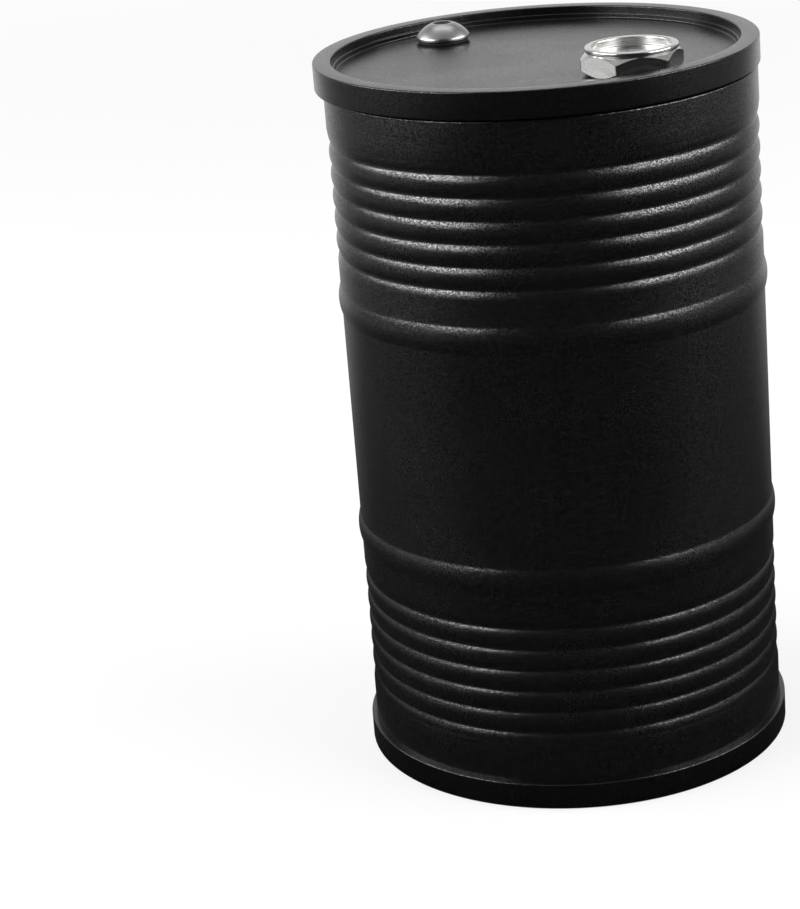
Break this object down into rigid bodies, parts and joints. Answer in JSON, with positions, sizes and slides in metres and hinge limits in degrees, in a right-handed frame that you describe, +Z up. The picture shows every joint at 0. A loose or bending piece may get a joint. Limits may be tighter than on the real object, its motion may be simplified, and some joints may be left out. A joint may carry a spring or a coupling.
{
  "type": "drum-shaped canister",
  "caption": "Hand-sized black metal canister shaped like an oil drum: ribbed wall with two hoops, lift-off lid, hex bung and button-head vent screw.",
  "frame": {"origin": "middle of the base, on the surface that the drum stands on", "axes": "+Z up along the drum's axis; -Y is the front, with the bung at the front right of the lid"},
  "size_m": [0.0755, 0.075, 0.1262],
  "materials": {
    "wall_coat": "fine-textured satin black powder coat",
    "rim_coat": "smooth satin black coat",
    "panel_coat": "satin black coat, slightly grey",
    "inner_coat": "satin black coat",
    "rubber": "matt black rubber",
    "zinc": "plain zinc plate",
    "nickel": "bright nickel plate, turned and brushed"
  },
  "bodies": {
    "drum_body": {"body_wall": "wall_coat", "base_chime": "rim_coat", "base_plate": "panel_coat", "mouth_ring": "inner_coat"},
    "lid": {"lid_rim": "rim_coat", "lid_panel": "panel_coat", "lid_skirt": "inner_coat", "lid_gasket": "rubber", "bung_flange": "zinc", "vent_weld_nut": "zinc"},
    "bung_seal_ring": {"bung_seal": "rubber"},
    "bung_plug": {"bung_hex_head": "nickel", "bung_spindle": "nickel"},
    "vent_seal_ring": {"vent_seal": "rubber"},
    "vent_plug": {"vent_screw": "nickel"}
  },
  "joints": [
    {"name": "lid_lift", "type": "slide", "parent": "drum_body", "child": "lid", "axis": [0, 0, 1], "range_m": [0, 0.04]},
    {"name": "bung_rise", "type": "slide", "parent": "lid", "child": "bung_seal_ring", "axis": [0, 0, 1], "range_m": [0, 0.006]},
    {"name": "bung_turn", "type": "hinge", "parent": "bung_seal_ring", "child": "bung_plug", "pos_m": [0.01509, -0.01732, 0.1218], "axis": [0, 0, 1], "range_deg": [0, 1728]},
    {"name": "vent_rise", "type": "slide", "parent": "lid", "child": "vent_seal_ring", "axis": [0, 0, 1], "range_m": [0, 0.0068]},
    {"name": "vent_turn", "type": "hinge", "parent": "vent_seal_ring", "child": "vent_plug", "pos_m": [-0.01645, 0.02041, 0.1218], "axis": [0, 0, 1], "range_deg": [0, 3060]}
  ],
  "couplings": [
    {"joint": "bung_turn", "follows": "bung_rise", "rad_per_m": 5026.5},
    {"joint": "vent_turn", "follows": "vent_rise", "rad_per_m": 7854}
  ]
}
